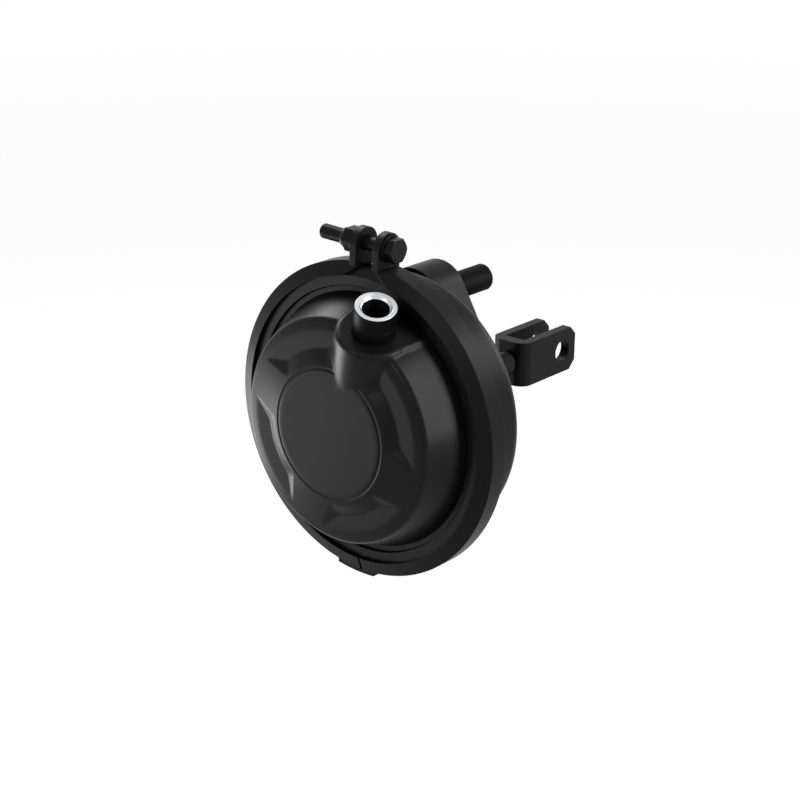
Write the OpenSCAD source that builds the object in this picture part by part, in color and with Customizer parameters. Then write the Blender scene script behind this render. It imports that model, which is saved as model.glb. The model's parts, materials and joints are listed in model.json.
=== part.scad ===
// Diaphragm brake cylinder of size class 24 with two M16 mounting studs.
// The axis of the push rod is X. The mounting face is the plane x = 0, the rod leaves towards +X.
// Most modules measure their depth along X from the flat front disc of the cover.

/* [Body] */
// travel of the push rod
stroke = 55; // [50:1:60]
// room left behind the piston plate at the end of the stroke
stroke_spare = 1.2; // [0.8:0.1:2]
// thickness of the cast walls of the rear housing
cast_wall = 4.3; // [4:0.1:4.8]
// height of the boss that carries the studs, over the bowl
boss_height = 22.8; // [20:0.2:26]

/* [Clamped joint] */
// depth of the middle of the clamped joint
joint_depth = 35.3; // [35:0.1:36]
// thickness of the clamp band sheet
band_sheet = 2.5; // [2:0.1:2.8]
// half of the width of the flat of the band
band_half = 5.8; // [5.6:0.1:6.4]
// how far each sloping leg spreads to the side
leg_spread = 3.2; // [2.8:0.1:3.8]
// radial height of the band, from the ends of its legs to its outside
leg_fall = 8.3; // [7.5:0.1:9]
// thickness of the clamped rim of the diaphragm
rim_sheet = 2.6; // [2.2:0.1:3]
// radial gap between the flanges and the band
flange_gap = 0.6; // [0.4:0.1:1]
// gap between the two half bands at the bottom
half_gap = 1.6; // [1:0.2:3]

/* [Clamp ears and bolt] */
// gap between the two ears
ear_gap = 11.8; // [10:0.2:13]
// thickness of an ear
ear_sheet = 4.5; // [4:0.1:5]
// height of the clamp bolt over the band
bolt_rise = 9.6; // [9:0.1:11]
// length over which the legs of the band are cut back below an ear
leg_cut = 11; // [8:0.5:13]
// turn of the ears about the axis, from straight up
ear_turn = 1.8; // [0:0.2:4]
// turn of the joining strap about the axis, from straight down
strap_turn = 3; // [0:0.5:5]
// radius of the clamp bolt
clamp_bolt_r = 4; // [3.8:0.1:4]
// clearance of the clamp bolt in its holes
bolt_clearance = 0.5; // [0.3:0.1:0.7]
// width across the flats of the bolt head and the nut
bolt_flats = 13; // [12.5:0.5:14]
// length of the clamp bolt behind its nut
bolt_tail = 16.5; // [12:0.5:20]
// thickness of a washer
washer_sheet = 1.6; // [1.2:0.1:2]
// how far a washer shows past the corners of the nut
washer_edge = 0.3; // [0.1:0.1:1]
// length of the joining strap
strap_length = 27; // [24:1:32]

/* [Cover] */
// radius of the flat front disc
disc_r = 36.8; // [36:0.2:37.6]
// radial width of the rounding of the disc edge
disc_round = 2.5; // [2:0.1:2.8]
// radial length of the ribs between the pockets
rib_width = 18.7; // [18:0.1:20]
// depth of the outer end of the ribs
crown_depth = 4.5; // [4.3:0.1:5]
// radial width of the rounded shoulder outside the ribs
shoulder_width = 8; // [7:0.2:9]
// how much deeper the shoulder ends than the ribs
shoulder_drop = 4.1; // [3.6:0.1:4.8]
// radial spread of the sloping skirt
skirt_spread = 8.5; // [7.5:0.1:9.5]
// width of the ring groove around the skirt
groove_width = 3.1; // [2.6:0.1:3.4]
// width of the land between the groove and the band
land_width = 6.1; // [5:0.1:7]
// depth of the ring groove, from the front of the flange
groove_depth = 2.1; // [1.5:0.1:2.4]
// thickness of the front wall
front_wall = 7; // [6.8:0.1:7.4]
// thickness of the skirt at its foot, measured along the radius
skirt_wall = 5; // [4.4:0.1:5.6]
// depth of the floor of a pocket
pocket_depth = 4; // [3.6:0.1:4.2]
// radial width of the sloping inner wall of a pocket
pocket_bank = 7.4; // [6.6:0.1:8]

/* [Air port] */
// turn of the port about the axis, from straight up
port_turn = 20; // [18:1:22]
// tilt of the port towards the front
port_tilt = 16; // [15:0.5:18]
// how far the pad lies inside the shoulder radius
pad_inset = 0.5; // [0:0.1:1]
// depth of the middle of the pad
pad_depth = 12; // [11:0.2:13]
// radius of the boss under the pad
boss_r = 19.8; // [19:0.1:20.4]
// how far each flank of the boss flares out
boss_flare = 5.4; // [4.5:0.1:6]
// length over which the flanks flare
boss_run = 24; // [22:0.5:26]
// radius of the rounding of the pad edge
pad_round = 3.5; // [3:0.1:4]
// outer radius of the threaded bush
bush_r = 12.2; // [12:0.1:12.4]
// height of the bush over the pad
bush_height = 18.5; // [17:0.5:20]
// core radius of the port thread
port_r = 7.25; // [7:0.05:7.5]
// depth of the thread from the face of the bush
port_length = 15; // [13:0.5:16]
// radius of the air passage under the thread
air_r = 4.5; // [4:0.1:5]
// radius of the spigot of the bush
spigot_r = 8.5; // [8:0.1:9]
// length of the spigot of the bush
spigot_length = 2.5; // [2:0.1:2.8]

/* [Rear housing] */
// step from the ends of the band legs in to the bowl
bowl_inset = 4.5; // [4:0.1:5.5]
// rounding of the outer corner of the bowl
bowl_round = 8; // [7:0.5:9]
// width of the flat ring around the middle boss
flat_ring = 21.2; // [20:0.2:23]
// thickness of the wall of the middle boss
boss_wall = 4.7; // [4.2:0.1:5.2]
// outer radius of the boss around a stud
lobe_r = 19.5; // [19:0.5:20.5]
// radius of the hole for the push rod
rod_hole_r = 12; // [11.5:0.5:13]
// width of the step that the rod guide sits on
guide_step = 3; // [2.5:0.1:4]
// how far the breather holes lie outside the middle of the flat ring
vent_shift = 1.4; // [0:0.1:2]
// radius of a breather hole
vent_r = 5.5; // [5:0.1:6]
// clearance of a plug in its breather hole
plug_clearance = 0.2; // [0.1:0.05:0.3]

/* [Mounting studs] */
// diameter of the circle through the two studs
stud_circle = 120.65; // [119:0.05:122]
// radius of a stud
stud_r = 8; // [7.9:0.05:8]
// length of a stud in front of the mounting face
stud_reach = 41.2; // [38:0.2:45]
// chamfer of the end of a stud
stud_chamfer = 1.5; // [1:0.1:2]
// depth of the thread on the end that sits in the housing
stud_thread = 0.9; // [0.8:0.05:1]
// metal left between the stud hole and the bowl floor
stud_floor = 0.8; // [0.5:0.1:2]
// fit of a stud in its hole
stud_fit = 0.05; // [0.03:0.01:0.1]

/* [Diaphragm and piston] */
// thickness of the middle of the diaphragm
rubber = 3; // [2.6:0.1:3.4]
// how far the rim of the diaphragm ends inside the flanges
rim_inset = 1.4; // [0.8:0.1:2]
// radial width of the fold of the diaphragm
fold_width = 12; // [11:0.2:13]
// how far the piston plate ends inside the fold
plate_inset = 3.5; // [3:0.1:4.5]
// thickness of the piston plate
plate_sheet = 3.2; // [2.8:0.1:3.4]
// radius of the push rod
rod_r = 7; // [6.8:0.1:7]
// radius of the foot of the welded collar
collar_r = 21; // [19:0.5:21.5]
// length of the welded collar
collar_length = 12; // [10:0.5:13]

/* [Rod guide, seal and spring] */
// running clearance of the push rod in its guide
running_fit = 0.06; // [0.03:0.01:0.09]
// clearance of the guide in its seat
guide_clearance = 0.2; // [0.1:0.05:0.4]
// metal that holds the guide from outside
guide_lip = 1.5; // [1.2:0.1:1.8]
// clearance between the seal and the push rod
seal_clearance = 0.3; // [0.25:0.05:0.5]
// outer radius of the seal
seal_r = 26; // [25:0.5:26.5]
// thickness of the seal
seal_sheet = 3; // [2.8:0.1:3.4]
// gap between the spring seat and the wall of the middle boss
seat_gap = 0.5; // [0.3:0.1:1]
// thickness of the spring seat
seat_sheet = 1.5; // [1.2:0.1:1.7]
// radius of the spring wire
wire_r = 2.5; // [2.2:0.1:2.7]
// gap between the spring and the edge of its seat
seat_edge = 4.3; // [3:0.1:6]
// gap between the spring and the welded collar
spring_air = 3.5; // [2:0.1:5]
// number of turns of the spring
spring_turns = 7; // [6:0.5:8]

/* [Clevis] */
// distance of the pin hole from the mounting face, piston back
pin_reach = 106.8; // [104:0.2:110]
// radius of the pin hole
pin_r = 7; // [6.9:0.05:7.3]
// width over the two ears of the clevis
clevis_width = 26.1; // [25.6:0.1:27]
// thickness of an ear of the clevis
clevis_sheet = 5.9; // [5.6:0.1:6]
// thickness of the closed end of the clevis
clevis_web = 8; // [7:0.1:9]
// rounding of the outer corners of the closed end
clevis_round = 8; // [6:0.5:10]
// rounding of the inner corners of the slot
slot_round = 1.5; // [1:0.1:3]
// height of the clevis
clevis_height = 27.8; // [26:0.2:29]
// distance from the pin hole to the closed end of the clevis
clevis_back = 40.3; // [38:0.2:43]
// distance from the pin hole to the tips of the ears
clevis_tip = 13.5; // [13:0.1:15]
// size of the cut corners of the ears
corner_cut = 5.3; // [4:0.1:5.6]
// fit of the clevis and the lock nut on the rod
thread_fit = 0.05; // [0.03:0.01:0.1]
// width across the flats of the lock nut
lock_flats = 22; // [21:0.5:23]
// thickness of the lock nut
lock_sheet = 8; // [7:0.5:9]
// distance of the lock nut from the mounting face, piston back
lock_reach = 34; // [30:1:40]

/* [Hidden] */
$fn = 96;
leg_half = band_half + leg_spread;
crown_r = disc_r + disc_round + rib_width;
shoulder_r = crown_r + shoulder_width;
shoulder_depth = crown_depth + shoulder_drop;
skirt_r = shoulder_r + skirt_spread;
mouth_r = skirt_r - skirt_wall;
leg_r = skirt_r + groove_width + land_width;
band_r = leg_r + leg_fall;
far = 2 * band_r;
leg_slope = leg_spread / leg_fall;
leg_sheet = band_sheet * sqrt(1 + leg_slope * leg_slope);
band_in = band_r - band_sheet;
leg_in_half = leg_half - leg_sheet;
band_in_half = band_half + leg_slope * band_sheet - leg_sheet;
flange_r = band_in - flange_gap;
flange_edge_half = band_in_half + leg_slope * flange_gap;
flange_front = joint_depth - leg_in_half;
flange_back = joint_depth + leg_in_half;
rim_front = joint_depth - rim_sheet / 2;
rim_back = joint_depth + rim_sheet / 2;
groove_floor = flange_front + groove_depth;
pocket_corner_a = 25.3;
pocket_corner_b = 19.9;
pocket_corner_c = 32.5;
pocket_r = disc_r + disc_round + pocket_bank;
pad_height = shoulder_r - pad_inset;
boss_drop = 0.7 * pad_height;
middle_disc_r = mouth_r - fold_width;
plate_r = middle_disc_r - plate_inset;
rim_r = flange_r - rim_inset;
piston_front = front_wall + rubber;
piston_back = piston_front + plate_sheet;
bowl_r = leg_r - bowl_inset;
bowl_in = piston_back + stroke + stroke_spare;
bowl_depth = bowl_in + cast_wall;
body_length = bowl_depth + boss_height;
boss_in = body_length - cast_wall;
middle_r = bowl_r - bowl_round - flat_ring;
middle_in_r = middle_r - boss_wall;
vent_radius = middle_r + flat_ring / 2 + vent_shift;
guide_seat_r = rod_hole_r + guide_step;
guide_length = cast_wall - guide_lip;
core_r = stud_r - stud_thread;
stud_grip = boss_height - stud_floor;
seat_r = middle_in_r - seat_gap;
spring_big_r = seat_r - wire_r - seat_edge;
spring_small_r = collar_r + wire_r + spring_air;
lobe_y = stud_circle / 2;
tangent_angle = acos((middle_r - lobe_r) / lobe_y);
ear_out = ear_gap / 2 + ear_sheet;
head_height = 5.3;
nut_height = 6.5;
nut_collar = 3;
bolt_height = band_r + bolt_rise;
bolt_length = 2 * (ear_out + washer_sheet) + nut_height + nut_collar + bolt_tail;
washer_r = bolt_flats / 2 / cos(30) + washer_edge;
bolt_hole_r = clamp_bolt_r + bolt_clearance;
ear_r = leg_half;
plug_r = vent_r - plug_clearance;
spring_back = boss_in - seat_sheet - wire_r;
spring_front = piston_back + wire_r;
clevis_pin = body_length + pin_reach;
clevis_end = clevis_pin - clevis_back;
slot_end = clevis_end + clevis_web;
rod_end = slot_end - 1;

// solid of revolution about the X axis; points are [radius, depth]
module turned(points) {
    rotate([0, 90, 0])
        rotate_extrude()
            polygon(points);
}

// straight round bar along X between two depths
module bar(r, from, to) {
    translate([from, 0, 0])
        rotate([0, 90, 0])
            cylinder(r = r, h = to - from);
}

// half space on the side of the plane through p that n points to
module beyond(p, n) {
    translate(p)
        rotate([0, acos(n[2] / norm(n)), atan2(n[1], n[0])])
            translate([-far / 2, -far / 2, 0])
                cube(far);
}

// everything after this is drawn with depth 0 at the front disc
module body() {
    translate([-body_length, 0, 0])
        children();
}

// frame of the air port: the pad is z = 0, the bush stands along +z
module port_frame() {
    rotate([port_turn, 0, 0])
        translate([pad_depth, 0, pad_height])
            rotate([0, -port_tilt, 0])
                children();
}

// frame of the clamp bolt: the bolt runs along y through the ears
module ear_frame() {
    rotate([ear_turn, 0, 0])
        translate([joint_depth, 0, bolt_height])
            children();
}

function arc(cx, cy, r, from, to, steps) =
    [for (i = [0:steps]) let (a = from + (to - from) * i / steps) [cx + r * cos(a), cy + r * sin(a)]];

module pocket(turn) {
    wall_slope = pocket_bank / pocket_depth;
    out_r = crown_r + 3;
    rotate([turn, 0, 0])
        intersection() {
            turned([[disc_r + disc_round - wall_slope, -1], [out_r, -1], [out_r, pocket_depth],
                    [pocket_r, pocket_depth]]);
            for_corner(1);
            for_corner(-1);
        }
}

// the sloping end wall of a pocket, as a half space
module for_corner(side) {
    ra = disc_r + disc_round;
    a = [0, side * ra * sin(pocket_corner_a), ra * cos(pocket_corner_a)];
    b = [pocket_depth, side * pocket_r * sin(pocket_corner_b), pocket_r * cos(pocket_corner_b)];
    c = [crown_depth, side * crown_r * sin(pocket_corner_c), crown_r * cos(pocket_corner_c)];
    n = cross(b - a, c - a);
    middle = [0, 0, pocket_r];
    beyond(a, n * sign(n * (middle - a)));
}

module boss_outline() {
    circle(r = boss_r);
    polygon([[0, boss_r], [boss_run, boss_r + boss_flare], [boss_run, -boss_r - boss_flare], [0, -boss_r]]);
}

// what a rounded edge takes away, in a plane across the edge
module edge_profile() {
    difference() {
        translate([-pad_round, -pad_round])
            square(pad_round + 1);
        translate([-pad_round, -pad_round])
            circle(r = pad_round);
    }
}

module port_boss() {
    difference() {
        translate([0, 0, -boss_drop])
            linear_extrude(height = boss_drop)
                boss_outline();
        rotate([0, 0, 90])
            rotate_extrude(angle = 180)
                translate([boss_r, 0])
                    edge_profile();
        for (m = [0, 1])
            mirror([0, m, 0])
                translate([0, boss_r, 0])
                    rotate([0, 0, atan(boss_flare / boss_run)])
                        rotate([90, 0, 90])
                            linear_extrude(height = boss_run + boss_flare)
                                edge_profile();
    }
}

module cover() {
    color("DimGray") body() difference() {
        union() {
            difference() {
                turned(concat([[0, 0], [disc_r, 0], [disc_r + disc_round * 0.6, 0.15],
                               [disc_r + disc_round, 0.6], [crown_r, crown_depth],
                               [crown_r + 4, crown_depth + 1.2], [shoulder_r - 1, shoulder_depth - 1.4],
                               [shoulder_r, shoulder_depth], [skirt_r, groove_floor],
                               [skirt_r + groove_width, groove_floor], [skirt_r + groove_width, flange_front],
                               [leg_r, flange_front], [flange_r, joint_depth - flange_edge_half],
                               [flange_r, rim_front], [0, rim_front]]));
                for (turn = [65:90:335])
                    pocket(turn);
            }
            intersection() {
                port_frame()
                    port_boss();
                turned([[0, -2 * boss_r], [skirt_r, -2 * boss_r], [skirt_r, groove_floor], [0, groove_floor]]);
            }
        }
        turned([[0, front_wall], [middle_disc_r + 1.5, front_wall], [middle_disc_r + 4.5, front_wall + 3],
                [mouth_r - 2.5, groove_floor - 0.1], [mouth_r, rim_front], [mouth_r, rim_front + 1],
                [0, rim_front + 1]]);
        intersection() {
            port_frame()
                linear_extrude(height = bush_height)
                    boss_outline();
            turned([[0, -2 * boss_r], [skirt_r + groove_width - 0.3, -2 * boss_r],
                    [skirt_r + groove_width - 0.3, groove_floor], [0, groove_floor]]);
        }
        port_frame() {
            translate([0, 0, -spigot_length])
                cylinder(r = spigot_r, h = spigot_length + 1);
            translate([0, 0, -skirt_wall - spigot_r])
                cylinder(r = air_r, h = skirt_wall + spigot_r);
        }
    }
}

module port_bush() {
    color("Silver") body() port_frame() difference() {
        union() {
            cylinder(r = bush_r, h = bush_height - 0.6);
            translate([0, 0, bush_height - 0.6])
                cylinder(r1 = bush_r, r2 = bush_r - 0.6, h = 0.6);
            translate([0, 0, -spigot_length])
                cylinder(r = spigot_r, h = spigot_length + 1);
        }
        translate([0, 0, bush_height - port_length])
            cylinder(r = port_r, h = port_length + 1);
        translate([0, 0, bush_height - 1.2])
            cylinder(r1 = port_r, r2 = port_r + 1.6, h = 1.6);
        translate([0, 0, -spigot_length - 1])
            cylinder(r = air_r, h = bush_height);
    }
}

module diaphragm() {
    r0 = middle_disc_r;
    wall_end = groove_floor - 0.3;
    r1 = mouth_r - 4;
    color("Black") body() turned([
        [0, front_wall], [r0, front_wall], [r0 + 2.2, front_wall + 0.9], [r0 + 3.2, front_wall + 3],
        [r1, wall_end], [r1 + 1.8, rim_front - 0.9], [mouth_r, rim_front], [rim_r, rim_front],
        [rim_r, rim_back], [mouth_r + 0.6, rim_back], [r1 + 0.2, rim_back - 0.9],
        [r1 - 2.6, wall_end + 1.2], [r0 + 0.4, piston_front + 1.2], [r0 - 0.8, piston_front], [0, piston_front]]);
}

// the band: a flat strip with a sloping leg on each side
module band_ring() {
    j = joint_depth;
    turned([[leg_r, j - leg_half], [band_r, j - band_half], [band_r, j + band_half], [leg_r, j + leg_half],
            [leg_r, j + leg_in_half], [band_in, j + band_in_half], [band_in, j - band_in_half],
            [leg_r, j - leg_in_half]]);
}

// an ear stands on the band, with its foot inside the thickness of the sheet
module ear() {
    foot = bolt_rise + 0.8 * band_sheet;
    ear_frame() difference() {
        union() {
            translate([-ear_r, ear_gap / 2, -foot])
                cube([2 * ear_r, ear_sheet, foot]);
            translate([0, ear_gap / 2, 0])
                rotate([-90, 0, 0])
                    cylinder(r = ear_r, h = ear_sheet);
        }
        translate([0, ear_gap / 2 - 1, 0])
            rotate([-90, 0, 0])
                cylinder(r = bolt_hole_r, h = ear_sheet + 2);
    }
}

// the slanting cut that takes the corner off both legs next to an ear
module leg_corner() {
    low = leg_r - 2;
    top = band_in - 0.3;
    rotate([90, 0, 90])
        linear_extrude(height = 2 * joint_depth)
            polygon([[ear_gap / 2 - 1, low], [ear_gap / 2 + leg_cut, low], [ear_gap / 2, top], [ear_gap / 2 - 1, top]]);
}

// half of the band on the +y side; side = -1 gives the other half
module clamp_half(side) {
    body() union() {
        difference() {
            band_ring();
            translate([0, side > 0 ? -far : 0, -far / 2])
                cube(far);
            translate([0, -half_gap / 2, -far])
                cube([far, half_gap, far]);
            rotate([ear_turn, 0, 0])
                translate([0, side > 0 ? -far + ear_gap / 2 : -ear_gap / 2, 0])
                    cube(far);
            rotate([ear_turn, 0, 0])
                mirror([0, side > 0 ? 0 : 1, 0])
                    leg_corner();
        }
        if (side > 0) ear();
        if (side < 0) rotate([2 * ear_turn, 0, 0]) mirror([0, 1, 0]) ear();
    }
}

module clamp_half_left() {
    color("DarkSlateGray") clamp_half(1);
}

module clamp_half_right() {
    color("DarkSlateGray") clamp_half(-1);
}

module clamp_strap() {
    color("SlateGray") body() rotate([strap_turn, 0, 0]) intersection() {
        turned([[band_r, joint_depth - band_half + 0.4], [band_r + band_sheet, joint_depth - band_half + 0.4],
                [band_r + band_sheet, joint_depth + band_half - 0.4], [band_r, joint_depth + band_half - 0.4]]);
        translate([0, -strap_length / 2, -far])
            cube([far, strap_length, far]);
    }
}

module clamp_bolt() {
    color("Gray") body() ear_frame() translate([0, -ear_out - washer_sheet, 0]) rotate([-90, 0, 0]) {
        cylinder(r = clamp_bolt_r, h = bolt_length - 0.8);
        translate([0, 0, bolt_length - 0.8])
            cylinder(r1 = clamp_bolt_r, r2 = clamp_bolt_r - 0.8, h = 0.8);
        intersection() {
            translate([0, 0, -head_height])
                cylinder(r = bolt_flats / 2 / cos(30), h = head_height, $fn = 6);
            translate([0, 0, -head_height])
                cylinder(r1 = bolt_flats / 2, r2 = bolt_flats / 2 + 2 * head_height, h = head_height);
        }
    }
}

module clamp_nut() {
    color("Gray") body() ear_frame() translate([0, ear_out + washer_sheet, 0]) rotate([-90, 0, 0]) difference() {
        union() {
            cylinder(r = bolt_flats / 2 / cos(30), h = nut_height, $fn = 6);
            translate([0, 0, nut_height])
                cylinder(r1 = bolt_flats / 2 - 0.2, r2 = bolt_flats / 2 - 1.2, h = nut_collar);
        }
        translate([0, 0, -1])
            cylinder(r = clamp_bolt_r + thread_fit, h = nut_height + nut_collar + 2);
    }
}

module clamp_washers() {
    color("Silver") body() ear_frame()
        for (y = [-ear_out - washer_sheet, ear_out])
            translate([0, y, 0]) rotate([-90, 0, 0]) difference() {
                cylinder(r = washer_r, h = washer_sheet);
                translate([0, 0, -1])
                    cylinder(r = clamp_bolt_r + bolt_clearance / 2, h = washer_sheet + 2);
            }
}

// outline of the middle boss with the two stud bosses, in the plane of the mounting face
module rear_outline() {
    circle(r = middle_r);
    s = sin(tangent_angle);
    c = cos(tangent_angle);
    for (m = [-1, 1]) {
        translate([m * lobe_y, 0])
            circle(r = lobe_r);
        polygon([[m * middle_r * c, middle_r * s], [m * (lobe_y + lobe_r * c), lobe_r * s],
                 [m * (lobe_y + lobe_r * c), -lobe_r * s], [m * middle_r * c, -middle_r * s]]);
    }
}

module rear_housing() {
    in_r = bowl_r - cast_wall;
    in_round = bowl_round - cast_wall;
    sink = stud_thread + 0.6;
    color("DimGray") body() difference() {
        union() {
            turned(concat([[0, rim_back], [flange_r, rim_back], [flange_r, joint_depth + flange_edge_half],
                           [leg_r, flange_back], [bowl_r, flange_back]],
                          arc(bowl_r - bowl_round, bowl_depth - bowl_round, bowl_round, 0, 90, 6),
                          [[0, bowl_depth]]));
            translate([bowl_depth - 2, 0, 0])
                rotate([0, 90, 0])
                    linear_extrude(height = body_length - bowl_depth + 2)
                        rear_outline();
        }
        turned(concat([[0, rim_back - 1], [in_r, rim_back - 1]],
                      arc(in_r - in_round, bowl_in - in_round, in_round, 0, 90, 4), [[0, bowl_in]]));
        bar(middle_in_r, bowl_in - 1, boss_in);
        bar(guide_seat_r, boss_in - 1, boss_in + guide_length);
        bar(rod_hole_r, boss_in, body_length + 1);
        for (m = [-1, 1])
            translate([0, 0, m * lobe_y]) {
                bar(core_r + stud_fit, body_length - stud_grip, body_length + 1);
                translate([body_length - sink, 0, 0])
                    rotate([0, 90, 0])
                        cylinder(r1 = core_r, r2 = core_r + 2 * sink, h = 2 * sink);
            }
        for (turn = [45:90:315])
            rotate([turn, 0, 0])
                translate([0, 0, vent_radius])
                    bar(vent_r, bowl_in - 1, bowl_depth + 1);
    }
}

module mounting_studs() {
    color("Gray")
        for (m = [-1, 1])
            translate([0, 0, m * lobe_y]) {
                bar(core_r, -stud_grip, 0);
                translate([-stud_thread - 0.1, 0, 0])
                    rotate([0, 90, 0])
                        cylinder(r1 = core_r, r2 = stud_r, h = stud_thread);
                bar(stud_r, -0.1, stud_reach - stud_chamfer);
                translate([stud_reach - stud_chamfer, 0, 0])
                    rotate([0, 90, 0])
                        cylinder(r1 = stud_r, r2 = stud_r - stud_chamfer, h = stud_chamfer);
            }
}

module spring_seat() {
    step = seal_sheet + 0.1;
    color("Silver") body() turned([
        [seat_r, boss_in], [seat_r, boss_in - seat_sheet], [seal_r + 0.1 + seat_sheet, boss_in - seat_sheet],
        [seal_r + 0.1 + seat_sheet, boss_in - step - seat_sheet], [seal_r - 6, boss_in - step - seat_sheet],
        [seal_r - 6, boss_in - step], [seal_r + 0.1, boss_in - step], [seal_r + 0.1, boss_in]]);
}

module dust_seal() {
    color("Black") body() turned([
        [rod_r + seal_clearance, boss_in - 1.8], [rod_r + seal_clearance + 4, boss_in - seal_sheet],
        [seal_r, boss_in - seal_sheet], [seal_r, boss_in], [rod_r + seal_clearance, boss_in]]);
}

module rod_guide() {
    color("Ivory") body() difference() {
        bar(guide_seat_r - guide_clearance, boss_in, boss_in + guide_length);
        bar(rod_r + running_fit, boss_in - 1, boss_in + guide_length + 1);
    }
}

module vent_plugs() {
    color("Black") body()
        for (turn = [-45, 45, 225])
            rotate([turn, 0, 0])
                translate([0, 0, vent_radius])
                    turned([[0, bowl_in - 1.2], [plug_r - 0.4, bowl_in - 1.2], [vent_r + 0.6, bowl_in],
                            [plug_r, bowl_in], [plug_r, bowl_depth], [vent_r + 2.3, bowl_depth],
                            [vent_r + 1.8, bowl_depth + 1.8], [0, bowl_depth + 1.8]]);
}

// the wire of the spring: rings of points along a cone-shaped helix
module return_spring() {
    per_turn = 32;
    around = 10;
    n = spring_turns * per_turn;
    rings = [for (i = [0:n])
        let (t = i / n, a = 360 * i / per_turn, r = spring_small_r + (spring_big_r - spring_small_r) * t,
             lead = min(1, max(0, (i - per_turn * 0.75) / (n - per_turn * 1.5))),
             x = spring_front + (spring_back - spring_front) * lead)
        for (k = [0:around - 1])
            let (b = 360 * k / around)
            [x + wire_r * sin(b), (r + wire_r * cos(b)) * sin(a), (r + wire_r * cos(b)) * cos(a)]];
    sides = [for (i = [0:n - 1]) for (k = [0:around - 1])
        let (k2 = (k + 1) % around)
        [i * around + k, i * around + k2, (i + 1) * around + k2, (i + 1) * around + k]];
    ends = [[for (k = [0:around - 1]) around - 1 - k], [for (k = [0:around - 1]) n * around + k]];
    color("Gray") body() polyhedron(points = rings, faces = concat(sides, ends));
}

module piston_plate() {
    e = plate_sheet / 2;
    color("SlateGray") body() turned([
        [0, piston_front], [plate_r - e, piston_front], [plate_r - 0.3 * e, piston_front + 0.3 * e],
        [plate_r, piston_front + e], [plate_r - 0.3 * e, piston_back - 0.3 * e], [plate_r - e, piston_back],
        [0, piston_back]]);
}

module rod_collar() {
    color("SlateGray") body() turned([
        [rod_r + thread_fit, piston_back], [collar_r, piston_back], [collar_r, piston_back + 2],
        [rod_r + 4, piston_back + collar_length - 3], [rod_r + 2, piston_back + collar_length],
        [rod_r + thread_fit, piston_back + collar_length]]);
}

module push_rod() {
    color("Silver") body() bar(rod_r, piston_back, rod_end);
}

module lock_nut() {
    color("Gray") translate([lock_reach, 0, 0]) rotate([0, 90, 0]) difference() {
        intersection() {
            cylinder(r = lock_flats / 2 / cos(30), h = lock_sheet, $fn = 6);
            cylinder(r1 = lock_flats / 2 + 0.3, r2 = lock_flats / 2 + 0.3 + 2 * lock_sheet, h = lock_sheet);
            cylinder(r1 = lock_flats / 2 + 0.3 + 2 * lock_sheet, r2 = lock_flats / 2 + 0.3, h = lock_sheet);
        }
        translate([0, 0, -1])
            cylinder(r = rod_r + thread_fit, h = lock_sheet + 2);
    }
}

// straight strip with two rounded corners at its start, as a flat figure seen from above
module strip(start, end, width, r) {
    for (m = [-1, 1])
        translate([start + r, m * (width / 2 - r)])
            circle(r = r);
    translate([start, r - width / 2])
        square([end - start, width - 2 * r]);
    translate([start + r, -width / 2])
        square([end - start - r, width]);
}

module clevis() {
    tip = clevis_pin + clevis_tip;
    color("DimGray") body() difference() {
        linear_extrude(height = clevis_height, center = true)
            difference() {
                strip(clevis_end, tip, clevis_width, clevis_round);
                strip(slot_end, tip + 2, clevis_width - 2 * clevis_sheet, slot_round);
            }
        for (m = [0, 1])
            mirror([0, 0, m])
                translate([tip, 0, clevis_height / 2 - corner_cut])
                    rotate([0, -45, 0])
                        translate([0, -clevis_width, 0])
                            cube([2 * corner_cut, 2 * clevis_width, 4 * corner_cut]);
        translate([clevis_pin, clevis_width, 0])
            rotate([90, 0, 0])
                cylinder(r = pin_r, h = 2 * clevis_width);
        bar(rod_r + thread_fit, clevis_end - 1, slot_end + 1);
    }
}

cover();
port_bush();
diaphragm();
clamp_half_left();
clamp_half_right();
clamp_strap();
clamp_bolt();
clamp_nut();
clamp_washers();
rear_housing();
mounting_studs();
spring_seat();
dust_seal();
rod_guide();
vent_plugs();
return_spring();
piston_plate();
rod_collar();
push_rod();
lock_nut();
clevis();
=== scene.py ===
# %% [markdown]
# # A diaphragm brake cylinder
#
# Compressed air enters the tilted port and pushes a rubber diaphragm, a plate and a push rod
# towards +X, and a spring brings them back. The solids come packed from the CAD side. This
# lesson gives them their finish and remakes the pieces whose fillets, bends and threads are
# too fine for plain solids.
#
# The frame is the one of the CAD: metres, the mounting face in the plane x = 0, the rod along +X.

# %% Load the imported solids
import json
import math

import bmesh
import bpy
import numpy as np
from mathutils import Matrix, Vector


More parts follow.
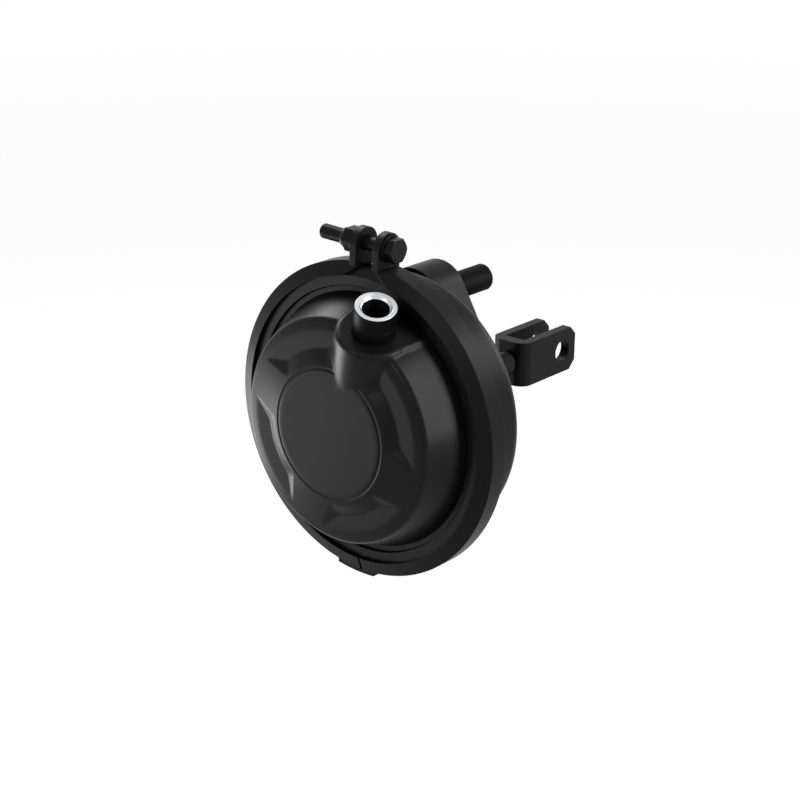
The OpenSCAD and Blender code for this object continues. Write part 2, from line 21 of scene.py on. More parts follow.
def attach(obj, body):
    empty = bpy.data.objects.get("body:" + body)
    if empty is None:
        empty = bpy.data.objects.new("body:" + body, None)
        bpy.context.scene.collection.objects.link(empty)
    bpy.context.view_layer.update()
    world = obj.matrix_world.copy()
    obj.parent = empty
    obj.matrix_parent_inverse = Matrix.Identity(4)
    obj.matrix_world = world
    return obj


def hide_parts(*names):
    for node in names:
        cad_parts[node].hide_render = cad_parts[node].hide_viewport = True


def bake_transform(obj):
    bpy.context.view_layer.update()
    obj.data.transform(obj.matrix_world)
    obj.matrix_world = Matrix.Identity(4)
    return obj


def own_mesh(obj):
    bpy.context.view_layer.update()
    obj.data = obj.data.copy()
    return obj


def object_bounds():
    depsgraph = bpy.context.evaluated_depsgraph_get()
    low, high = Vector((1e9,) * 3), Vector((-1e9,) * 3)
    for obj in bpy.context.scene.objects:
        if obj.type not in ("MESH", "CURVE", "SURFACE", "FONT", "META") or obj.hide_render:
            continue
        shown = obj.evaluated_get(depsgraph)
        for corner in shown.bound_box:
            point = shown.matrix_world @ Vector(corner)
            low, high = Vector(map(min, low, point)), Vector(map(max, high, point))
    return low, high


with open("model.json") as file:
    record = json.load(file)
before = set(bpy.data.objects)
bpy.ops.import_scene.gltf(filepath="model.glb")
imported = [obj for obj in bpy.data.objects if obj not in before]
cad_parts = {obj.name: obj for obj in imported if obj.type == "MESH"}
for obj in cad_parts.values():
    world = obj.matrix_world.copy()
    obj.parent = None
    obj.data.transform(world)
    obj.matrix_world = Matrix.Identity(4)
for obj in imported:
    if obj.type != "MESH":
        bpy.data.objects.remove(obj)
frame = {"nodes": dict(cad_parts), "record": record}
cad_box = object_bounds()
MM = 0.001

# %% [markdown]
# ## Camera
#
# The picture was taken with a long lens, so the ellipses of the round body were used to find
# where the camera stands and which way it looks. A camera can be placed by its position, two
# angles and a roll, and a focal length on Blender's 36 mm wide film. No shift is needed.

# %% Place the camera
def aim(azimuth, elevation, roll):
    """Rotation of a camera that looks at the object from that side, in degrees."""
    a, e, r = (math.radians(v) for v in (azimuth, elevation, roll))
    back = Vector((math.sin(a) * math.cos(e), -math.cos(a) * math.cos(e), math.sin(e)))
    right = Vector((math.cos(a), math.sin(a), 0))
    up = back.cross(right)
    turned_right = right * math.cos(r) + up * math.sin(r)
    turned_up = up * math.cos(r) - right * math.sin(r)
    return Matrix((turned_right, turned_up, back)).transposed().to_4x4()


camera_data = bpy.data.cameras.new("camera")
camera = bpy.data.objects.new("camera", camera_data)
bpy.context.collection.objects.link(camera)
camera_data.lens = 86.92
camera_data.sensor_width = 36
camera_data.clip_start = 0.05
camera.matrix_world = Matrix.Translation((-0.83155, -0.66520, 0.38784)) @ aim(-50.155, 20.325, 0.709)
bpy.context.scene.camera = camera
print("camera at", [round(v, 3) for v in camera.matrix_world.translation])

# %% [markdown]
# ## Shader arithmetic
#
# A finish is a small net of nodes. Wiring it by hand takes many lines, so one class holds a
# socket and lets Python's own signs add the Math nodes, and another makes every other node
# in one call: its type, its settings, and the values or links of its inputs.

# %% Sockets that can be added and multiplied
class Wire:
    """An output socket of a finish."""

    def __init__(self, finish, socket):
        self.finish = finish
        self.socket = socket

    def math(self, operation, *values):
        inputs = dict(enumerate(values))
        return self.finish.add("ShaderNodeMath", {"operation": operation}, inputs)

    def __add__(self, other):
        return self.math("ADD", self, other)

    def __radd__(self, other):
        return self.math("ADD", other, self)

    def __rsub__(self, other):
        return self.math("SUBTRACT", other, self)

    def __mul__(self, other):
        return self.math("MULTIPLY", self, other)

    def __rmul__(self, other):
        return self.math("MULTIPLY", other, self)

    def sine(self):
        return self.math("SINE", self)

    def over(self, edge, width):
        """0 below the edge and 1 above it, with a soft step of that width."""
        return self.finish.add("ShaderNodeMapRange", {"interpolation_type": "SMOOTHSTEP"},
                               {0: self, 1: edge - width / 2, 2: edge + width / 2, 3: 0.0, 4: 1.0})


class Finish:
    """A material that is built around one Principled shader."""

    def __init__(self, name, colour, roughness, metallic=0.0, specular=0.5):
        self.material = bpy.data.materials.new(name)
        self.material.use_nodes = True
        self.tree = self.material.node_tree
        self.shader = self.tree.nodes["Principled BSDF"]
        self.material.diffuse_color = (*colour, 1)
        self.put("Base Color", (*colour, 1))
        self.put("Roughness", roughness)
        self.put("Metallic", metallic)
        self.put("Specular IOR Level", specular)

    def add(self, kind, settings=None, inputs=None, output=0):
        node = self.tree.nodes.new(kind)
        for name, value in (settings or {}).items():
            setattr(node, name, value)
        for name, value in (inputs or {}).items():
            self.join(node.inputs[name], value)
        return Wire(self, node.outputs[output])

    def join(self, socket, value):
        if isinstance(value, Wire):
            self.tree.links.new(value.socket, socket)
        else:
            socket.default_value = value

    def put(self, name, value):
        self.join(self.shader.inputs[name], value)

    def place(self):
        return self.add("ShaderNodeTexCoord", output=3)

    def noise(self, scale, detail=3.0):
        """Cloudy values around 0.5; scale counts the clouds in a metre."""
        return self.add("ShaderNodeTexNoise", {},
                        {"Vector": self.place(), "Scale": scale, "Detail": detail})

    def mix(self, factor, low, high):
        return self.add("ShaderNodeMix", {"data_type": "RGBA"},
                        {0: factor, 6: low, 7: high}, output=2)

    def relief(self, height, depth, soften=0.0004):
        """Raised detail of that depth in metres, over edges that are rounded a little."""
        rounded = self.add("ShaderNodeBevel", {"samples": 4}, {"Radius": soften})
        inputs = {"Height": height, "Strength": 1.0, "Distance": depth, "Normal": rounded}
        self.put("Normal", self.add("ShaderNodeBump", {}, inputs))


print("finish helpers ready")

# %% [markdown]
# ## Black paint
#
# The cast shells, the clamp band and the clevis are sprayed with satin black paint. Paint is
# not one colour: it is a little duller where it lies thick, it copies the skin of the casting
# below it, and it has a fine orange peel of its own. Two sizes of noise drive the roughness and
# the relief, and the colour changes by a few parts in a thousand only.

# %% Mix the paints
def black_paint(name, base, roughness, casting, peel, soften, specular):
    finish = Finish(name, (base, base, base * 1.04), roughness, specular=specular)
    drift = finish.noise(28, 4)
    skin = finish.noise(620, 5)
    orange = finish.noise(1900, 2)
    finish.put("Base Color", finish.mix(drift, (base * 0.82, base * 0.82, base * 0.86, 1),
                                        (base * 1.18, base * 1.18, base * 1.2, 1)))
    finish.put("Roughness", roughness - 0.06 + 0.12 * drift + 0.05 * skin)
    finish.relief(skin * casting + orange * peel, 0.0001, soften)
    return finish.material


cover_paint = black_paint("cover_paint", 0.0040, 0.30, 0.15, 0.04, 0.0002, 0.10)
housing_paint = black_paint("housing_paint", 0.0034, 0.34, 0.25, 0.04, 0.0015, 0.075)
band_paint = black_paint("band_paint", 0.0038, 0.33, 0.05, 0.04, 0.0010, 0.075)
clevis_paint = black_paint("clevis_paint", 0.0026, 0.36, 0.06, 0.04, 0.0005, 0.07)
print("paints:", cover_paint.name, housing_paint.name, band_paint.name, clevis_paint.name)

# %% [markdown]
# ## Steel
#
# Bolts, nuts and studs are blackened steel: a thin dark layer that still glints like metal. The
# inner pieces are zinc plated, phosphated or bare spring wire. The layer's cloudiness again
# comes from noise.

# %% Mix the steels
def steel(name, colour, roughness, metallic, cloud, relief, specular=0.5):
    finish = Finish(name, colour, roughness, metallic, specular=specular)
    drift = finish.noise(90, 4)
    fine = finish.noise(1500, 3)
    dark = tuple(c * (1 - cloud) for c in colour)
    light = tuple(min(1, c * (1 + cloud)) for c in colour)
    finish.put("Base Color", finish.mix(drift, (*dark, 1), (*light, 1)))
    finish.put("Roughness", roughness - 0.08 + 0.16 * drift)
    finish.relief(fine, relief * MM, 0.0003)
    return finish.material


fastener_black = steel("fastener_black", (0.005, 0.005, 0.0053), 0.33, 0.15, 0.25, 0.02, 0.08)
stud_black = steel("stud_black", (0.006, 0.006, 0.0063), 0.34, 0.15, 0.25, 0.02, 0.1)
rod_steel = steel("rod_steel", (0.011, 0.011, 0.0115), 0.34, 0.2, 0.25, 0.015, 0.12)
zinc_steel = steel("zinc_steel", (0.55, 0.56, 0.58), 0.33, 1.0, 0.12, 0.02)
spring_steel = steel("spring_steel", (0.12, 0.12, 0.13), 0.45, 0.8, 0.25, 0.04)
plate_steel = steel("plate_steel", (0.16, 0.16, 0.165), 0.5, 0.6, 0.2, 0.04)
print("steels:", [m.name for m in (fastener_black, stud_black, rod_steel, zinc_steel, spring_steel,
                                   plate_steel)])

# %% [markdown]
# ## Rubber and plastic
#
# The diaphragm is cloth covered with rubber, and the weave shows through faintly. Two crossed
# sine waves make a weave without any picture. Plugs and the guide are moulded plastic.

# %% Mix the rubber and the plastics
THREADS = 4200.0


def woven_rubber(name, base):
    finish = Finish(name, (base, base, base), 0.7)
    across = finish.add("ShaderNodeSeparateXYZ", {}, {0: finish.place()}, output=1)
    upward = Wire(finish, across.socket.node.outputs[2])
    weave = (across * THREADS).sine() * (upward * THREADS).sine()
    drift = finish.noise(60, 3)
    finish.put("Base Color", finish.mix(drift, (base * 0.8, base * 0.8, base * 0.8, 1),
                                        (base * 1.3, base * 1.3, base * 1.28, 1)))
    finish.put("Roughness", 0.62 + 0.16 * drift)
    finish.relief(weave * 0.5 + drift, 0.00008)
    return finish.material


def moulded(name, colour, roughness):
    finish = Finish(name, colour, roughness)
    drift = finish.noise(120, 3)
    grain = finish.noise(2600, 2)
    low = tuple(c * 0.9 for c in colour)
    finish.put("Base Color", finish.mix(drift, (*low, 1), (*colour, 1)))
    finish.put("Roughness", roughness - 0.05 + 0.1 * drift)
    finish.relief(grain, 0.00003)
    return finish.material


diaphragm_rubber = woven_rubber("diaphragm_rubber", 0.03)
seal_rubber = moulded("seal_rubber", (0.03, 0.03, 0.03), 0.65)
guide_plastic = moulded("guide_plastic", (0.55, 0.52, 0.44), 0.5)
plug_plastic = moulded("plug_plastic", (0.022, 0.022, 0.023), 0.5)
print("rubber and plastics:", [m.name for m in (diaphragm_rubber, seal_rubber, guide_plastic,
                                                plug_plastic)])

# %% [markdown]
# ## Bare metal on the air port
#
# The bush is painted with the cover, and then its end is faced, so the ring and the mouth are
# bare metal while the side is black. The bore below the mouth gets the same black, which is
# painted shade for the inside of the hole. The border follows the piece itself: the height of a
# point along the axis of the port and its distance from that axis decide. The height is a dot
# product, and the distance is the length of a cross product. Facing leaves fine rings, which
# a sine of the distance gives.

# %% Mix the port's two finishes
BODY = 96.5
PORT_TURN, PORT_TILT = math.radians(20), math.radians(16)
PORT_AXIS = Vector((-math.sin(PORT_TILT), -math.sin(PORT_TURN) * math.cos(PORT_TILT),
                    math.cos(PORT_TURN) * math.cos(PORT_TILT)))
PAD_DEPTH, PAD_HEIGHT = 12, 66.5
PAD_MM = np.array((PAD_DEPTH, -PAD_HEIGHT * math.sin(PORT_TURN), PAD_HEIGHT * math.cos(PORT_TURN)))
PAD = Vector(PAD_MM - (BODY, 0, 0)) * MM
BUSH_HEIGHT = 17.5
FACED, BARE_R, FACING = 1.7, 11.4, 5200.0


def port_finish():
    finish = Finish("port_metal", (0.54, 0.55, 0.56), 0.28, 1.0, specular=0.04)
    from_pad = finish.add("ShaderNodeVectorMath", {"operation": "SUBTRACT"},
                          {0: finish.place(), 1: PAD})
    height = finish.add("ShaderNodeVectorMath", {"operation": "DOT_PRODUCT"},
                        {0: from_pad, 1: PORT_AXIS}, output=1)
    off_axis = finish.add("ShaderNodeVectorMath", {"operation": "CROSS_PRODUCT"},
                          {0: from_pad, 1: PORT_AXIS})
    radius = finish.add("ShaderNodeVectorMath", {"operation": "LENGTH"}, {0: off_axis}, output=1)
    face = height.over((BUSH_HEIGHT - FACED) * MM, 0.12 * MM)
    bare = face * (1 - radius.over(BARE_R * MM, 0.15 * MM))
    drift = finish.noise(150, 3)
    rings = (radius * FACING).sine()
    metal = finish.mix(drift, (0.47, 0.48, 0.49, 1), (0.60, 0.61, 0.62, 1))
    # Outside the bare end the colour is black: real paint on the side, and painted shade in the bore
    # below the mouth.
    finish.put("Base Color", finish.mix(bare, (0.0022, 0.0022, 0.0024, 1), metal))
    finish.put("Metallic", bare)
    finish.put("Roughness", 0.40 - 0.12 * bare + 0.06 * drift)
    finish.relief(rings * face * 0.5 + drift * 0.3, 0.00004)
    return finish.material


port_metal = port_finish()
print("port axis", [round(v, 3) for v in PORT_AXIS])

# %% [markdown]
# ## Dress the solids
#
# A CAD node keeps its mesh and gets a better material. The table of the record says which
# slot each node belongs to, so the finishes above are looked up by that name.

# %% Give every CAD node its finish
FINISHES = {"cover_paint": cover_paint, "housing_paint": housing_paint, "band_paint": band_paint,
            "clevis_paint": clevis_paint, "port_metal": port_metal, "fastener_black": fastener_black,
            "stud_black": stud_black, "zinc_steel": zinc_steel, "spring_steel": spring_steel,
            "plate_steel": plate_steel, "rod_steel": rod_steel, "diaphragm_rubber": diaphragm_rubber,
            "seal_rubber": seal_rubber, "guide_plastic": guide_plastic, "plug_plastic": plug_plastic}
SLOT_OF = {part["node"]: part["material_slot"] for part in frame["record"]["subparts"]}
for name, node in frame["nodes"].items():
    for slot in node.material_slots:
        slot.material = FINISHES[SLOT_OF[name]]
print("dressed", len(SLOT_OF), "nodes")

# %% [markdown]
# ## Soft shapes from distances
#
# A casting has no sharp edge: every corner is rounded and every foot runs out in a fillet. Such
# a skin is easy to describe by a signed distance, which is negative inside the metal, zero on
# the skin and positive outside. The larger of two distances is what two shapes share, the
# smaller is both together, and a soft larger or smaller value rounds the edge between them.
# To get the mesh, rays leave from inside the shape and halving the interval finds where the
# distance is zero. The slope of the distance is the exact normal for smooth shading.

# %% Helpers for soft shapes
def soft_max(a, b, width):
    h = np.maximum(width - np.abs(a - b), 0) / width
    return np.maximum(a, b) + h * h * width / 4


def soft_min(a, b, width):
    return -soft_max(-a, -b, width)


def line(r, x, start, end):
    """Distance from a line in the (radius, depth) plane, positive on its outer side."""
    dr, dx = end[0] - start[0], end[1] - start[1]
    return ((r - start[0]) * dx - (x - start[1]) * dr) / math.hypot(dr, dx)


def skin_points(distance, starts, directions, reach):
    """The skin that the rays meet, and its normals."""
    near = np.zeros(len(directions))
    far = np.full(len(directions), float(reach))
    for _ in range(26):
        middle = (near + far) / 2
        inside = distance(starts + directions * middle[:, None]) < 0
        near = np.where(inside, middle, near)
        far = np.where(inside, far, middle)
    points = starts + directions * far[:, None]
    step = np.eye(3) * 0.05
    slope = np.stack([distance(points + s) - distance(points - s) for s in step], axis=1)
    return points, slope / np.linalg.norm(slope, axis=1)[:, None]


def softened(corners):
    """Profile with rounded corners: rows of radius, depth and the two parts of the normal.

    Each corner is (radius, depth, rounding), and the material lies on the left of the path.
    """
    rows = []
    for i, (r, x, rounding) in enumerate(corners):
        here = np.array((r, x), float)
        into = here - np.array(corners[i - 1][:2]) if i else None
        out = np.array(corners[i + 1][:2]) - here if i + 1 < len(corners) else None
        into = into / np.linalg.norm(into) if into is not None else None
        out = out / np.linalg.norm(out) if out is not None else None
        ends = [d for d in (into, out) if d is not None]
        if len(ends) == 1 or rounding == 0:
            rows += [(*here, d[1], -d[0]) for d in ends]
            continue
        turn = math.atan2(into[0] * out[1] - into[1] * out[0], into @ out)
        back = rounding * math.tan(abs(turn) / 2)
        start = here - into * back
        steps = 2 + int(abs(turn) / 0.5)
        for k in range(steps + 1):
            a = turn * k / steps
            side = math.copysign(rounding, turn)
            left = np.array((-into[1], into[0]))
            along = into * math.sin(a) * side + left * (1 - math.cos(a)) * side
            d = into * math.cos(a) + left * math.sin(a)
            rows.append((*(start + along), d[1], -d[0]))
    return np.array(rows)


def turned_grid(rows, around):
    """Points and normals of a profile turned about the X axis, ring after ring."""
    a = np.linspace(0, 2 * math.pi, around, endpoint=False)
    c, s = np.cos(a), np.sin(a)
    r, x, nr, nx = (rows[:, k][:, None] for k in range(4))
    points = np.stack(np.broadcast_arrays(x, r * s, r * c), axis=2).reshape(-1, 3)
    normals = np.stack(np.broadcast_arrays(nx, nr * s, nr * c), axis=2).reshape(-1, 3)
    return points, normals


def ring_faces(rings, around, first=0):
    """Quads between neighbouring rings of points."""
    i, k = np.meshgrid(np.arange(rings - 1), np.arange(around), indexing="ij")
    here = first + i * around + k
    beside = first + i * around + (k + 1) % around
    return np.stack((here, here + around, beside + around, beside), axis=2).reshape(-1, 4)


def piece(name, points, faces, normals, material, shift=-BODY):
    """A mesh from points in millimetres, measured by depth, with its own normals."""
    mesh = bpy.data.meshes.new(name)
    moved = (np.asarray(points) + (shift, 0, 0)) * MM
    mesh.from_pydata(moved.tolist(), [], [[int(v) for v in f] for f in faces])
    mesh.shade_smooth()
    if normals is None:
        clean = bmesh.new()
        clean.from_mesh(mesh)
        bmesh.ops.remove_doubles(clean, verts=clean.verts, dist=1e-6)
        clean.to_mesh(mesh)
        clean.free()
        mesh.set_sharp_from_angle(angle=math.radians(32))
    else:
        mesh.normals_split_custom_set_from_vertices(np.asarray(normals).tolist())
    mesh.materials.append(material)
    item = bpy.data.objects.new(name, mesh)
    bpy.context.collection.objects.link(item)
    return item

# %% [markdown]
# ## The cast cover
#
# The cover is a dome that is built up from the front disc, the cone of the ribs and the sloping
# skirt. Four shallow pockets are taken out between the ribs, and the boss of the air port
# grows out of the shoulder, tilted 16 degrees forwards. The pockets repeat every quarter turn
# and each is its own mirror image, so folding the angle describes all four at once.

# %% Distance from the skin of the cover
DISC_R, DISC_EDGE, CROWN, SHOULDER, FOOT = 39.3, 0.6, (58, 4.5), (65, 5.96), (74.5, 31.08)
POCKET_TURN, POCKET_DEPTH, BANK = math.radians(65), 4.6, 8.4
LINE_AT, LINE_R, LINE_OUT = 37.8, 1.1, 0.3
BOSS_R, FLARE, PAD_ROUND = 21.0, 5.4 / 24, 3.6
PORT_X = Vector((math.cos(PORT_TILT), -math.sin(PORT_TILT) * math.sin(PORT_TURN),
                 math.sin(PORT_TILT) * math.cos(PORT_TURN)))
PORT_Y = Vector((0, math.cos(PORT_TURN), math.sin(PORT_TURN)))


def pocket_end():
    """Point and outward normal of the sloping end wall of a pocket."""
    corners = ((0, DISC_R, 25.3), (POCKET_DEPTH, DISC_R + BANK, 19.9), (CROWN[1], CROWN[0], 32.5))
    a, b, c = (np.array((x, r * math.sin(math.radians(t)), r * math.cos(math.radians(t))))
               for x, r, t in corners)
    normal = np.cross(b - a, c - a)
    normal /= np.linalg.norm(normal)
    return a, normal * (1 if normal[1] > 0 else -1)


END_POINT, END_NORMAL = pocket_end()


def cover_distance(p):
    x = p[:, 0]
    r = np.hypot(p[:, 1], p[:, 2])
    dome = soft_max(-x, line(r, x, (DISC_R, DISC_EDGE), CROWN), 0.5)
    dome = soft_max(dome, line(r, x, SHOULDER, FOOT), 2.0)
    angle = np.arctan2(-p[:, 1], p[:, 2]) - POCKET_TURN
    angle = np.abs((angle + math.pi / 4) % (math.pi / 2) - math.pi / 4)
    q = np.stack((x, r * np.sin(angle), r * np.cos(angle)), axis=1)
    slope = BANK / POCKET_DEPTH
    bank = (DISC_R + slope * x - r) / math.hypot(1, slope)
    ends = (q - END_POINT) @ END_NORMAL
    wall = soft_max(bank, ends, 0.7)
    hollow = soft_max(wall, x - POCKET_DEPTH, 0.5)
    dome = soft_max(dome, -hollow, 0.35)
    dome = soft_max(dome, LINE_R - np.hypot(r - LINE_AT, x + LINE_OUT), 0.3)
    local = p - PAD_MM
    u, v, w = local @ np.array(PORT_X), local @ np.array(PORT_Y), local @ np.array(PORT_AXIS)
    round_part = np.hypot(u, v) - BOSS_R
    wedge = np.maximum((np.abs(v) - BOSS_R - FLARE * u) / math.hypot(1, FLARE), -u)
    outline = soft_min(round_part, wedge, 1.0)
    dome = soft_max(dome, -soft_max(outline, -w, 1.0), 0.8)
    boss = np.maximum(soft_max(outline, w, PAD_ROUND), r - FOOT[0])
    return soft_min(dome, boss, 0.9)


# %% Cast the rays and turn the flange
AROUND = 450
ROOT_X, ROOT_SHARE = 30.0, 0.75
path = np.array([(0.9, 0), (36.4, 0), (DISC_R, DISC_EDGE), CROWN, SHOULDER, FOOT], float)
along = np.concatenate(([0], np.cumsum(np.hypot(*np.diff(path, axis=0).T))))
spots = np.concatenate((np.linspace(0, 32, 8), np.arange(33, 59, 0.32), np.arange(59, 67, 0.5),
                        np.linspace(67, along[-1], 42)))
rings = np.stack([np.interp(spots, along, path[:, k]) for k in (0, 1)], axis=1)
roots = np.stack((rings[:, 0] * ROOT_SHARE, np.full(len(rings), ROOT_X)), axis=1)
slant = rings - roots
slant /= np.linalg.norm(slant, axis=1)[:, None]
azimuth = np.linspace(0, 2 * math.pi, AROUND, endpoint=False)[None, :]


def around_axis(pairs):
    """Turn pairs of radius and depth about the axis."""
    r, x = pairs[:, 0][:, None], pairs[:, 1][:, None]
    grid = np.broadcast_arrays(x, r * np.sin(azimuth), r * np.cos(azimuth))
    return np.stack(grid, axis=2).reshape(-1, 3)


dome_points, dome_normals = skin_points(cover_distance, around_axis(roots), around_axis(slant), 80)
flange = softened([(*FOOT, 0), (77.6, 31.08, 0.5), (77.6, 28.98, 0.7), (83.7, 28.98, 0.8),
                   (88.9, 30.98, 0.6), (88.9, 33.98, 0), (69.5, 33.98, 0), (67, 31, 3),
                   (62, 10, 4), (59, 7, 4), (0.9, 7, 0)])
flange_points, flange_normals = turned_grid(flange, AROUND)
n = len(dome_points)
faces = np.concatenate((ring_faces(len(rings), AROUND), ring_faces(len(flange), AROUND, n)))
cap = [list(range(AROUND)), [n + (len(flange) - 1) * AROUND + k for k in range(AROUND)][::-1]]
cover = piece("cover_cast", np.concatenate((dome_points, flange_points)), faces.tolist() + cap,
              np.concatenate((dome_normals, flange_normals)), cover_paint)
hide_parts("cover")
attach(cover, "housing")
print("cover faces:", len(cover.data.polygons))

# %% [markdown]
# ## Turned pieces with threads
#
# The bush, the studs and the rod are turned on a lathe, and their threads are cut afterwards. A
# thread is a groove that climbs one pitch in a turn, so its depth at a point depends on the place
# along the axis plus the share of a turn. The rows of the profile lie six to a pitch where there
# is a thread, and their radius swings with that sum.

# %% Helper for turned pieces
def turned_piece(name, corners, material, place=None, around=64, pitch=1.5, shift=0.0):
    """Turned about X; a corner is (radius, depth, cut of the thread on the stretch after it)."""
    rows = []
    for (r0, x0, cut), (r1, x1, _) in zip(corners, corners[1:]):
        steps = math.ceil(abs(x1 - x0) / pitch * 6) if cut else 1
        for k in range(steps):
            fade = min(1, k / 6, (steps - k) / 6) if cut else 0
            rows.append((r0 + (r1 - r0) * k / steps, x0 + (x1 - x0) * k / steps, cut * fade))
    rows.append((*corners[-1][:2], 0))
    r, x, cut = (np.array(column)[:, None] for column in zip(*rows))
    a = np.linspace(0, 2 * math.pi, around, endpoint=False)[None, :]
    wave = 1 - np.abs(2 * ((x / pitch + a / (2 * math.pi)) % 1) - 1)
    r = r - cut * wave
    points = np.stack(np.broadcast_arrays(x, r * np.sin(a), r * np.cos(a)), axis=2).reshape(-1, 3)
    faces = ring_faces(len(rows), around).tolist()
    if corners[0] != corners[-1]:
        faces += [list(range(around)), [(len(rows) - 1) * around + k for k in range(around)][::-1]]
    return piece(name, points if place is None else place(points), faces, None, material, shift)


# %% [markdown]
# ## The bush of the air port
#
# The outside of the bush is plain below and faced above. The mouth has a small counterbore and a
# chamfer, and below them runs the pipe thread down to a seat with the narrower air passage.

# %% Turn the bush
def in_port(points):
    return PAD_MM + points @ np.array((PORT_AXIS, PORT_X, PORT_Y))


TOP = BUSH_HEIGHT
bush = turned_piece("port_bush_turned", [
    (12.0, -1.5, 0), (12.0, 7.2, 0), (11.75, 7.5, 0), (11.75, TOP - 0.4, 0), (11.35, TOP, 0),
    (8.95, TOP, 0), (8.8, TOP - 0.45, 0), (7.6, TOP - 1.6, -0.55), (7.6, 2.6, 0),
    (4.5, 1.6, 0), (4.5, -1.5, 0), (12.0, -1.5, 0)],
    port_metal, in_port, around=96, shift=-BODY)
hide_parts("port_bush")
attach(bush, "housing")
print("bush faces:", len(bush.data.polygons))

# %% [markdown]
# ## Studs, push rod and bolt tail
#
# The studs carry a metric thread from the housing to their chamfered ends, and the rod carries
# one where the lock nut and the clevis sit. Both studs are one object, as in the record. The tail
# of the clamp bolt gets its thread as a thin sleeve around the shank.

# %% Cut the threads
STUD_Z = 60.325
stud_profile = [(0.05, -22, 0), (7.1, -22, 0), (7.1, -1, 0), (8, -0.1, 0),
                (8, 1.2, 0.85), (8, 39.9, 0), (6.7, 41.2, 0), (0.05, 41.2, 0)]
studs = turned_piece("studs_threaded", stud_profile, stud_black,
                     lambda p: p + (0, 0, STUD_Z), around=56)
lower = turned_piece("stud_below", stud_profile, stud_black,
                     lambda p: p - (0, 0, STUD_Z), around=56)
joined = bmesh.new()
joined.from_mesh(studs.data)
joined.from_mesh(lower.data)
joined.to_mesh(studs.data)
joined.free()
bpy.data.objects.remove(lower)
studs.data.set_sharp_from_angle(angle=math.radians(32))
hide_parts("mounting_studs")
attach(studs, "housing")

rod = turned_piece("push_rod_threaded", [
    (0.05, -83.3, 0), (7, -83.3, 0), (7, 20, 0), (6.6, 21, 0), (7, 22, 0.75), (7, 72.5, 0),
    (6, 73.5, 0), (0.05, 73.5, 0)], rod_steel, around=56)
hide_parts("push_rod")
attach(rod, "rod")

JOINT_DEPTH, BOLT_HEIGHT, EAR_TURN = 35.3, 101.6, math.radians(1.8)


def on_bolt(points):
    x, y, z = (JOINT_DEPTH + points[:, 2], points[:, 0], BOLT_HEIGHT + points[:, 1])
    c, s = math.cos(EAR_TURN), math.sin(EAR_TURN)
    return np.stack((x, y * c - z * s, y * s + z * c), axis=1)


tail = turned_piece("bolt_thread", [
    (3.6, 21.6, 0), (4.0, 21.6, 0), (4.25, 22.0, 0.35), (4.25, 36.6, 0), (4.0, 37.1, 0),
    (3.6, 37.1, 0), (3.6, 21.6, 0)],
    fastener_black, on_bolt, around=48, pitch=1.25, shift=-BODY)
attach(tail, "housing")
print("thread faces:", [len(o.data.polygons) for o in (studs, rod, tail)])

# %% [markdown]
# ## Diaphragm and spring
#
# Inside, two pieces change their shape as the rod moves. The diaphragm is held by its rim and
# carried by the plate in the middle, and the conical spring shortens. Here each is built in a
# single shape.

# %% Mould the diaphragm and wind the spring
def stretch(start, end, steps):
    """Corners spread evenly along a straight wall."""
    return [(start[0] + (end[0] - start[0]) * k / steps, start[1] + (end[1] - start[1]) * k / steps, 0)
            for k in range(1, steps)]


wall = softened([(0.5, 7, 0), (57.5, 7, 1), (59.7, 7.9, 1), (60.7, 10, 1)]
                + stretch((60.7, 10), (65.5, 30.8), 10)
                + [(65.5, 30.8, 1), (67.3, 33.1, 0.8), (69.5, 34, 0.8), (87.5, 34, 0.5),
                   (87.5, 36.6, 0.5), (70.1, 36.6, 1), (65.7, 35.7, 1), (62.9, 32, 1)]
                + stretch((62.9, 32), (57.9, 11.2), 10)
                + [(57.9, 11.2, 0.6), (56.7, 10, 0.4), (0.5, 10, 0)])
SIDES = 144
wall_points, wall_normals = turned_grid(wall, SIDES)
caps = [list(range(SIDES)), [(len(wall) - 1) * SIDES + k for k in range(SIDES)][::-1]]
diaphragm = piece("diaphragm_moulded", wall_points, ring_faces(len(wall), SIDES).tolist() + caps,
                  wall_normals, diaphragm_rubber)
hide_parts("diaphragm")
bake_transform(diaphragm)

TURNS, PER_TURN, WIRE_SIDES, WIRE_R = 7, 80, 14, 2.5
step = np.arange(TURNS * PER_TURN + 1)[:, None] / PER_TURN
coil_r = 27 + 11 * step / TURNS
coil_x = 15.7 + 72.5 * np.clip((step - 0.75) / (TURNS - 1.5), 0, 1)
turn = 2 * math.pi * step
side = np.linspace(0, 2 * math.pi, WIRE_SIDES, endpoint=False)[None, :]
reach = coil_r + WIRE_R * np.cos(side)
coil = np.stack((coil_x + WIRE_R * np.sin(side), reach * np.sin(turn), reach * np.cos(turn)), axis=2)
coil_faces = ring_faces(len(step), WIRE_SIDES)[:, ::-1].tolist()
last = TURNS * PER_TURN * WIRE_SIDES
coil_faces += [list(range(WIRE_SIDES))[::-1], [last + k for k in range(WIRE_SIDES)]]
spring = piece("spring_wound", coil.reshape(-1, 3), coil_faces, None, spring_steel)
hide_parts("return_spring")
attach(spring, "housing")
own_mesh(spring)
print("inner faces:", len(diaphragm.data.polygons), len(spring.data.polygons))

# %% [markdown]
# ## Light and floor
#
# The picture has soft light and a plain white ground. Black paint shows mostly reflections, so
# six soft area lamps are set where the surfaces mirror them towards the camera: the long one on
# the near right draws the broad sheen on the skirt, the small ones on the left and in front light
# the ribs and the disc, and two behind keep the far side from going black. The world and the
# floor are white to the camera and in reflections through the Light Path node, and plain and pale
# to all other rays, so they don't flood the paint with light. The floor gets whiter with the
# distance from the middle, so that no horizon shows.

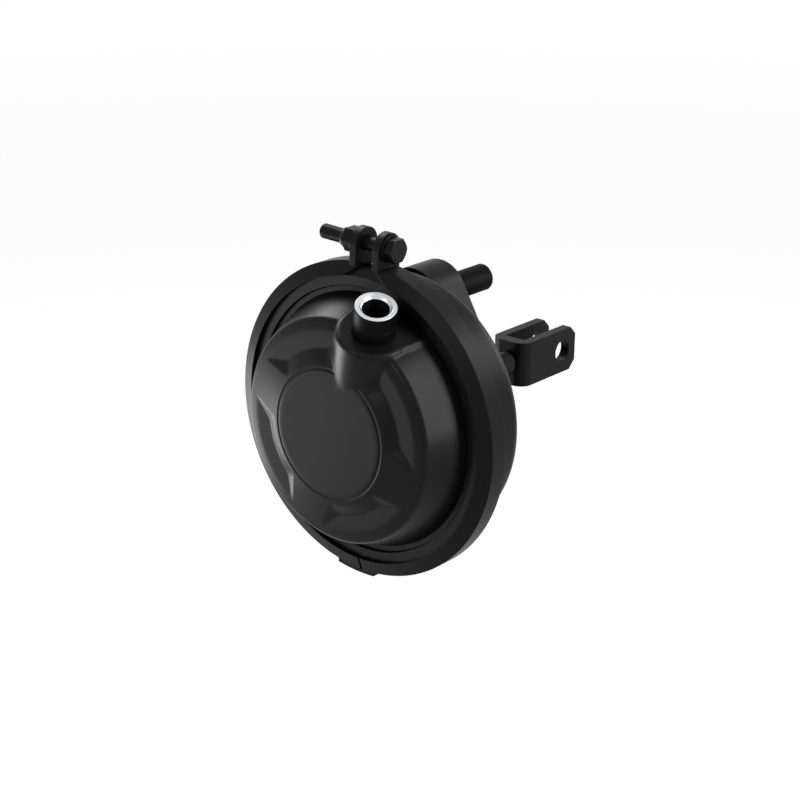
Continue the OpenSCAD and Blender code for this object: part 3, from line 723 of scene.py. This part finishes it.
# %% Set the lamps and the ground
def lamp(name, place, target, size, power):
    data = bpy.data.lights.new(name, "AREA")
    data.shape = "RECTANGLE"
    data.size, data.size_y = size
    data.energy = power
    item = bpy.data.objects.new(name, data)
    bpy.context.collection.objects.link(item)
    item.location = place
    item.rotation_euler = (Vector(target) - Vector(place)).to_track_quat("-Z", "Y").to_euler()
    item.visible_camera = False
    return item


lamp("back_lamp", (0.36, 0.92, 0.95), (0, 0, 0), (0.8, 0.8), 15)
lamp("right_lamp", (0.19, -1.31, 0.66), (-0.02, 0, 0), (0.5, 1.85), 32)
lamp("left_lamp", (-0.22, 0.58, -0.27), (-0.05, 0, 0), (0.42, 0.28), 2.7)
lamp("front_lamp", (-0.56, 0.44, -0.27), (-0.05, 0, 0), (0.42, 0.42), 1.0)
lamp("facet_lamp", (-1.08, 0.08, 0.45), (-0.1, 0, 0), (0.34, 0.34), 2.6)
lamp("rear_lamp", (1.25, -0.55, 0.6), (0, 0, 0), (0.6, 0.6), 10)


def white_to_camera(tree, shaded, output, share):
    """Shows that share of plain white to the camera and in reflections, and the shaded look otherwise."""
    path = tree.nodes.new("ShaderNodeLightPath")
    seen = path.outputs["Is Camera Ray"]
    for other in ("Is Glossy Ray", "Is Transmission Ray"):
        both = tree.nodes.new("ShaderNodeMath")
        both.operation = "MAXIMUM"
        tree.links.new(seen, both.inputs[0])
        tree.links.new(path.outputs[other], both.inputs[1])
        seen = both.outputs[0]
    part = tree.nodes.new("ShaderNodeMath")
    part.operation = "MULTIPLY"
    if isinstance(share, Wire):
        tree.links.new(share.socket, part.inputs[1])
    else:
        part.inputs[1].default_value = share
    tree.links.new(seen, part.inputs[0])
    on_surface = output.node.type == "OUTPUT_MATERIAL"
    white = tree.nodes.new("ShaderNodeEmission" if on_surface else "ShaderNodeBackground")
    white.inputs["Color"].default_value = (1, 1, 1, 1)
    white.inputs["Strength"].default_value = 1.0
    chosen = tree.nodes.new("ShaderNodeMixShader")
    tree.links.new(part.outputs[0], chosen.inputs[0])
    tree.links.new(shaded, chosen.inputs[1])
    tree.links.new(white.outputs[0], chosen.inputs[2])
    tree.links.new(chosen.outputs[0], output)


world = bpy.data.worlds.new("studio")
bpy.context.scene.world = world
world.use_nodes = True
soft = world.node_tree.nodes["Background"]
soft.inputs["Color"].default_value = (1, 1, 1, 1)
soft.inputs["Strength"].default_value = 0.3
white_to_camera(world.node_tree, soft.outputs[0], world.node_tree.nodes["World Output"].inputs[0], 1.0)

HALF, DROP, FLOOR_WHITE = 20, 0.25, 0.88
floor_mesh = bpy.data.meshes.new("floor")
floor_mesh.from_pydata([(-HALF, -HALF, 0), (HALF, -HALF, 0), (HALF, HALF, 0), (-HALF, HALF, 0)], [],
                       [(0, 1, 2, 3)])
floor = bpy.data.objects.new("floor", floor_mesh)
floor.location = (0, 0, cad_box[0][2] - DROP)
bpy.context.collection.objects.link(floor)
floor_finish = Finish("floor_white", (0.9, 0.9, 0.9), 0.9)
floor_mesh.materials.append(floor_finish.material)
from_middle = floor_finish.add("ShaderNodeVectorMath", {"operation": "LENGTH"},
                               {0: floor_finish.place()}, output=1)
white_to_camera(floor_finish.tree, floor_finish.shader.outputs[0],
                floor_finish.tree.nodes["Material Output"].inputs[0],
                FLOOR_WHITE + (1 - FLOOR_WHITE) * from_middle.over(2.2, 3.6))
bpy.context.scene.view_settings.view_transform = "Standard"
lamps = [o.name for o in bpy.context.scene.objects if o.type == "LIGHT"]
print("lamps:", lamps, "floor at", round(floor.location.z, 4))

# %% Print the size of the CAD box
print("cad box   ", [[round(v, 4) for v in corner] for corner in cad_box])
